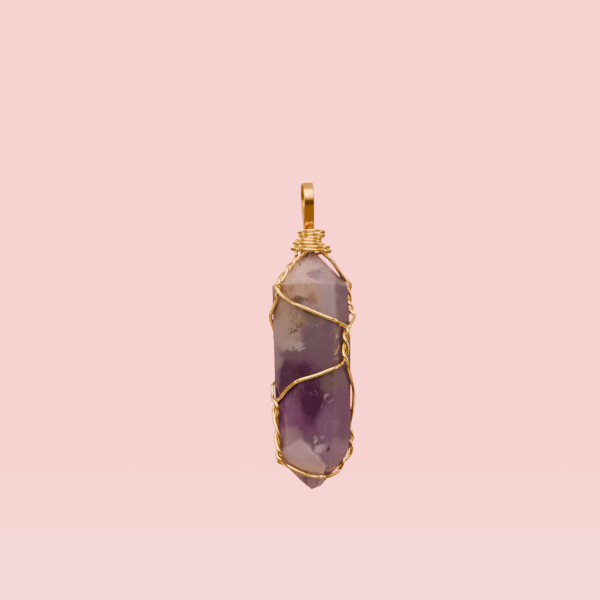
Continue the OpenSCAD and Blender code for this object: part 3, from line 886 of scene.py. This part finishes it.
def stone_colour(graph):
    """Colours from the pale cap down to the rosy foot, some of them painted shadow, reflection and
    light, with the place and the fine noise used.
    """
    place = millimetres(graph)
    wavy = shaken(graph, place, 4.5, 0.8)
    ragged = shaken(graph, wavy, 1.7, 0.75, 5.0)
    behind = graph.ease(graph.part(place, "Y"), *SWAY_DEPTH)
    sway = (graph.noise(place, 0.13, 2.0) - 0.5) * behind * SWAY
    u, v = graph.part(ragged, "X"), graph.part(ragged, "Z") + sway
    height = graph.part(place, "Z")
    broad = graph.noise(place, 0.28, 3.0)
    fine = graph.noise(place, 0.9, 5.0, 0.6, 0.5)
    grain = graph.noise(place, 3.0, 4.0, 0.6)
    blotty = graph.noise(wavy, 1.1, 5.0, 0.65)

    colour = graph.blend(graph.ease(v, *WAIST), GREY_VIOLET, LILAC)
    colour = graph.blend(graph.ease(height + (grain - 0.5) * 0.6, *CAP_EDGE), colour, CAP_ROSE)
    for x, z, wide, high, soft, strength, tone in ZONES:
        colour = graph.blend(spot(graph, u, v, x, z, wide, high, soft) * strength, colour, tone)
    # Painted light: the pale facet at the foot's left is lit from below in colour, over a paler
    # colour of its own
    foot = 1 - graph.ease(depth_under(graph, wavy, LOWER_LEFT_FACE), -0.2, 0.7)
    foot_colour_and_light = graph.blend(graph.ease(v, *FOOT_WARMTH), FOOT_BEIGE_AND_LIGHT, FOOT_LILAC_AND_LIGHT)
    colour = graph.blend(foot * (1 - graph.ease(v, *FOOT_FADE)) * 0.95, colour, foot_colour_and_light)
    colour = graph.blend(1 - graph.ease(height, *TIP_EDGE), colour, TIP_GREY)
    stripe = spot(graph, u, height, -0.7, -59.0, 0.4, 2.0, 0.9)
    colour = graph.blend(stripe * 0.8, colour, TIP_DARK)
    for x, z, wide, high, fill, strength, tone in MOTTLES:
        bound = 0.6 - 0.2 * fill
        outside = 1 - spot(graph, u, v, x, z, wide, high, 0.8)
        blots = graph.ease(blotty - outside * 0.3, bound, bound + 0.05)
        colour = graph.blend(blots * strength, colour, tone)
    jagged = shaken(graph, wavy, 0.7, 0.4, 5.0)
    middle = graph.ease(graph.part(place, "Y"), *CRACK_DEPTH)
    for x, z, tilt, thickness, reach, strength, tone in CRACKS:
        crack = sheet(graph, jagged, (x, z), tilt, thickness, reach) * strength
        colour = graph.blend(crack * (1 - middle), colour, tone)

    upper = graph.ease(v, *UPPER_HALF)
    smoky = graph.ease(fine, 0.52, 0.66) * graph.ease(broad, 0.38, 0.6)
    colour = graph.blend(smoky * (0.1 + upper * 0.3), colour, UMBER)
    wisps = veins(graph, ragged, 0.5, 0.022, 4.0) * graph.ease(broad, 0.46, 0.62)
    colour = graph.blend(wisps * 0.07, colour, VEIL)
    dots = flecks(graph, ragged, 1.0, 0.17) * graph.ease(fine, 0.47, 0.6)
    colour = graph.blend(dots * (upper * 0.7 + 0.03), colour, DARK_SPECK)
    sparks = flecks(graph, ragged, 1.3, 0.12) * graph.ease(broad, 0.5, 0.64)
    colour = graph.blend(sparks * 0.3, colour, VEIL)
    return graph.scaled(colour, 0.74 + fine * 0.36 + grain * 0.16), place, fine


def stone_material():
    """Polished, cloudy amethyst: soft light just under the surface, and a glassy skin."""
    material, graph, shader = new_material("amethyst")
    colour, place, fine = stone_colour(graph)
    relief = graph.noise(place, 0.45, 1.0)
    bump = graph.node("ShaderNodeBump", None,
                      {"Strength": 0.25, "Distance": 0.06 * MM, "Height": relief})
    rough = graph.ease(fine, 0.55, 0.8) * 0.08 + 0.21
    feed(graph, shader, Base_Color=colour, Roughness=rough, Normal=bump, IOR=1.545,
         Specular_IOR_Level=0.2, Subsurface_Weight=0.3, Subsurface_Radius=(0.9, 0.55, 0.85),
         Subsurface_Scale=0.8 * MM)
    return material


# Pieces

def make_crystal(material):
    """The crystal cut by its faces from a block, with polished, slightly rounded edges."""
    bm = bmesh.new()
    block = Matrix.Translation((CRYSTAL_X * MM, 0, BLOCK_MIDDLE * MM)) @ Matrix.Scale(BLOCK * MM, 4)
    bmesh.ops.create_cube(bm, size=1, matrix=block)
    for point, normal in zip(FACE_POINTS, FACE_NORMALS):
        cut = bmesh.ops.bisect_plane(
            bm, geom=bm.verts[:] + bm.edges[:] + bm.faces[:], dist=CUT_MERGE * MM,
            plane_co=Vector(point) * MM, plane_no=Vector(normal), clear_outer=True)
        rim = [e for e in cut["geom_cut"] if isinstance(e, bmesh.types.BMEdge)]
        if rim:
            bmesh.ops.contextual_create(bm, geom=rim)
    bmesh.ops.remove_doubles(bm, verts=bm.verts[:], dist=LAST_MERGE * MM)
    bmesh.ops.recalc_face_normals(bm, faces=bm.faces[:])
    for face in bm.faces:
        face.smooth = True
    mesh = bpy.data.meshes.new("cut_crystal")
    bm.to_mesh(mesh)
    bm.free()
    mesh.materials.append(material)
    rough = new_object("cut_crystal", mesh)
    bevel = rough.modifiers.new("edges", "BEVEL")
    bevel.width = EDGE_ROUNDING * MM
    bevel.segments = 3
    bevel.limit_method = "ANGLE"
    bevel.angle_limit = math.radians(LEAST_EDGE)
    bevel.harden_normals = True
    return finished(rough, "amethyst_crystal")


def bail_line():
    """Middle of the strap: up one leg, over the loop and down the other."""
    radius = BAIL_INNER_R + STRAP_T / 2
    leg = (STRAP_T + LEGS_GAP) / 2
    meet = LEGS_MEET_Z + MEET_RISE
    middle = -BAIL_INNER_R
    fall = middle - meet
    slope = math.asin(radius / math.hypot(leg, fall)) - math.atan2(leg, fall)
    turn = np.linspace(-slope, math.pi + slope, LOOP_STEPS)
    loop = np.stack([radius * np.cos(turn), middle + radius * np.sin(turn)], axis=1)
    foot = np.linspace([leg, LEGS_END_Z], [leg, meet], LEG_STEPS)[:-1]
    side = np.linspace([leg, meet], loop[0], SIDE_STEPS)[:-1]
    half = np.concatenate([foot, side])
    line = np.concatenate([half, loop, (half * [-1, 1])[::-1]])
    # The bend where a leg leaves the loop's side is eased over a short stretch.
    for _ in range(BEND_PASSES):
        line[1:-1] = (line[:-2] + 2 * line[1:-1] + line[2:]) / 4
    return np.stack([np.zeros(len(line)), -line[:, 0], line[:, 1]], axis=1)


def make_bail(material):
    """The strap, bent and dished."""
    points = bail_line()
    line = polyline("bail_line", points, np.ones(len(points)))
    values = {
        "Width": STRAP_W * MM, "Thickness": STRAP_T * MM, "Rounding": STRAP_ROUNDING * MM,
        "Dish": STRAP_DISH * MM, "Foot": (0, 0, LEGS_MEET_Z * MM),
        "Lean": (0, math.radians(BAIL_LEAN), 0), "Material": material,
    }
    return grown(line, bail_group(), values, "strap_bail")


def make_wire(group, name, path, radius, material, wobble):
    """A wire along its centre line, with domed ends."""
    points, girth = rounded_ends(path, radius)
    values = {
        "Radius": radius * MM, "Sides": WIRE_SIDES, "Wobble": wobble * MM,
        "Wobble length": WOBBLE_LENGTH * MM, "Material": material,
    }
    return grown(polyline(name + "_line", points, girth), group, values, name)


def settle(piece, node):
    """Puts a piece on the body, in place of its CAD node."""
    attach(piece, BODY)
    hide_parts(node)


# Golds: surface colour, colour of the low spots, and roughness
CAGE_GOLD = (rgb(0.95, 0.736, 0.342), rgb(0.90, 0.632, 0.288), 0.15)
BINDING_GOLD = (rgb(0.87, 0.656, 0.162), rgb(0.80, 0.552, 0.108), 0.16)
# The bail's gold is deeper than the wires', partly as painted shade for the darker surroundings
# that the bail mirrors
BAIL_GOLD = (rgb(0.80, 0.483, 0.144), rgb(0.70, 0.391, 0.09), 0.19)

amethyst = stone_material()
cage_gold = gold_material("cage_wire_gold", *CAGE_GOLD)
binding_gold = gold_material("binding_wire_gold", *BINDING_GOLD)
bail_gold = gold_material("bail_gold", *BAIL_GOLD, draw_marks=False)

wires = wire_group()
front_path, back_path = cage_paths()
settle(make_crystal(amethyst), "crystal")
settle(make_bail(bail_gold), "bail")
for name, path, node in (("front_cage_wire", front_path, "front_wire"),
                         ("back_cage_wire", back_path, "back_wire")):
    wire = make_wire(wires, name, path, WIRE_R, cage_gold, CAGE_WOBBLE)
    settle(wire, node)
for name, turns, node in (("top_binding_wire", TOP_TURNS, "top_binding"),
                          ("main_binding_wire", MAIN_TURNS, "main_binding")):
    wire = make_wire(wires, name, coil_path(turns), BINDING_R, binding_gold, BINDING_WOBBLE)
    settle(wire, node)


# Stage

FLOOR_Z = -85
FLOOR_REACH = 6000
# Height that the lamps are aimed at
AIM_Z = -30
# Lamps that are only mirrored: name, azimuth, elevation, distance, size, watts and colour
MIRRORED_LAMPS = [
    ("front", -6, 37, 450, (480, 400), 4.6, (1.0, 0.757, 0.261)),
    ("back", 186, 30, 460, (300, 260), 1.8, (1.0, 0.757, 0.25)),
    ("right_strip", 82, 4, 400, (110, 420), 0.6, (1.0, 0.748, 0.345)),
    ("left_strip", -86, 4, 400, (110, 420), 0.6, (1.0, 0.748, 0.345)),
]
# Lamps that only light the stone
FILL_LAMPS = [
    ("front_fill", -6, 39, 450, (480, 400), 3.4, (1.0, 0.95, 0.90)),
    ("back_fill", 172, 30, 460, (300, 260), 1.6, (1.0, 0.95, 0.93)),
    ("right_fill", 84, -8, 300, (260, 260), 1.0, (1.0, 0.93, 0.92)),
    ("left_fill", -100, -8, 300, (260, 260), 0.5, (1.0, 0.93, 0.92)),
    ("low_fill", 12, -62, 300, (260, 260), 0.9, (1.0, 0.93, 0.92)),
]
# What the metal mirrors from below, at the horizon and above, and what shows behind the pendant
NADIR = rgb(1.2, 0.95, 0.85)
HORIZON_DARK = rgb(0.33, 0.23, 0.17)
HORIZON = rgb(0.95, 0.82, 0.72)
ZENITH = rgb(1.10, 1.02, 0.96)
# The unlit ends of the studio, on the camera's side and behind
CAMERA_SIDE = rgb(0.09, 0.07, 0.05)
CAMERA_LEVEL = rgb(0.60, 0.52, 0.40)
FAR_SIDE = rgb(0.26, 0.22, 0.20)
BACKDROP = rgb(5.8, 1.35, 1.3)
# Warm gain on the walls where they are mirrored
MIRRORED_GAIN = rgb(1.25, 0.896, 0.267)


def camera():
    """The photograph's view, framed by moving the camera sideways and down."""
    a, e = math.radians(VIEW_AZIMUTH), math.radians(VIEW_ELEVATION)
    right = Vector((math.cos(a), math.sin(a), 0))
    ahead = Vector((-math.sin(a) * math.cos(e), math.cos(a) * math.cos(e), -math.sin(e)))
    up = right.cross(ahead)
    data = bpy.data.cameras.new("camera")
    data.lens = LENS
    data.sensor_width = SENSOR
    data.clip_start = 0.01
    data.clip_end = 20
    thing = new_object("camera", data)
    thing.matrix_world = Matrix((
        (right.x, up.x, -ahead.x, 0),
        (right.y, up.y, -ahead.y, 0),
        (right.z, up.z, -ahead.z, 0),
        (0, 0, 0, 1),
    ))
    eye = right * VIEW_SHIFT[0] + up * VIEW_SHIFT[1] - ahead * VIEW_DISTANCE
    thing.location = eye * MM
    bpy.context.scene.camera = thing


def softbox(name, azimuth, elevation, distance, size, watts, colour, mirrored):
    """An area light aimed at the pendant, which is only mirrored or only lights the stone."""
    a, e = math.radians(azimuth), math.radians(elevation)
    back = Vector((math.sin(a) * math.cos(e), -math.cos(a) * math.cos(e), math.sin(e)))
    data = bpy.data.lights.new(name, "AREA")
    data.shape = "RECTANGLE"
    data.size, data.size_y = size[0] * MM, size[1] * MM
    data.energy = watts
    data.color = colour
    lamp = new_object(name, data)
    lamp.visible_camera = False
    lamp.visible_glossy = mirrored
    lamp.visible_diffuse = not mirrored
    lamp.location = Vector((0, 0, AIM_Z * MM)) + back * distance * MM
    lamp.rotation_mode = "QUATERNION"
    lamp.rotation_quaternion = (-back).to_track_quat("-Z", "Y")


def floor():
    """A pale floor far below, which only the camera sees."""
    bm = bmesh.new()
    bmesh.ops.create_grid(bm, x_segments=1, y_segments=1, size=FLOOR_REACH * MM)
    mesh = bpy.data.meshes.new("floor")
    bm.to_mesh(mesh)
    bm.free()
    material, graph, shader = new_material("pale_floor")
    feed(graph, shader, Base_Color=rgb(0.35, 0.25, 0.24), Roughness=0.9, Emission_Color=BACKDROP,
         Emission_Strength=0.9)
    mesh.materials.append(material)
    thing = new_object("floor", mesh)
    thing.location = (0, 0, FLOOR_Z * MM)
    thing.visible_glossy = False
    thing.visible_diffuse = False
    thing.visible_shadow = False


def studio_world():
    """Plain walls, shaded by the height and the depth of a direction, each from -1 to 1."""
    world = bpy.data.worlds.new("studio")
    bpy.context.scene.world = world
    world.use_nodes = True
    graph = Graph(world.node_tree)
    background = world.node_tree.nodes["Background"]
    background.inputs["Strength"].default_value = 1.0
    way = graph.node("ShaderNodeTexCoord", output="Generated")
    height, depth = graph.part(way, "Z"), graph.part(way, "Y")
    glow = graph.blend(graph.ease(height, -0.92, -0.8), NADIR, HORIZON_DARK)
    glow = graph.blend(graph.ease(height, -0.3, 0.0), glow, HORIZON)
    glow = graph.blend(graph.ease(height, 0.35, 0.95), glow, ZENITH)
    level = graph.ease(height, -0.8, -0.6) * (1 - graph.ease(height, 0.25, 0.5))
    glow = graph.blend(graph.ease(depth, 0.2, 0.75) * level, glow, FAR_SIDE)
    near = graph.ease(depth * -1, 0.45, 0.7)
    low = graph.ease(height, -0.8, -0.6) * (1 - graph.ease(height, 0.1, 0.35))
    glow = graph.blend(near * low, glow, CAMERA_LEVEL)
    lower = graph.ease(height, -0.8, -0.6) * (1 - graph.ease(height, -0.25, -0.02))
    glow = graph.blend(near * lower, glow, CAMERA_SIDE)
    mirrored = graph.node("ShaderNodeLightPath", output="Is Glossy Ray")
    glow = graph.blend(mirrored, glow, MIRRORED_GAIN, "MULTIPLY")
    seen = graph.node("ShaderNodeLightPath", output="Is Camera Ray")
    shown = graph.blend(seen, glow, BACKDROP)
    graph.tree.links.new(shown.output, background.inputs["Color"])


camera()
floor()
studio_world()
for lamp in MIRRORED_LAMPS:
    softbox(*lamp, mirrored=True)
for lamp in FILL_LAMPS:
    softbox(*lamp, mirrored=False)
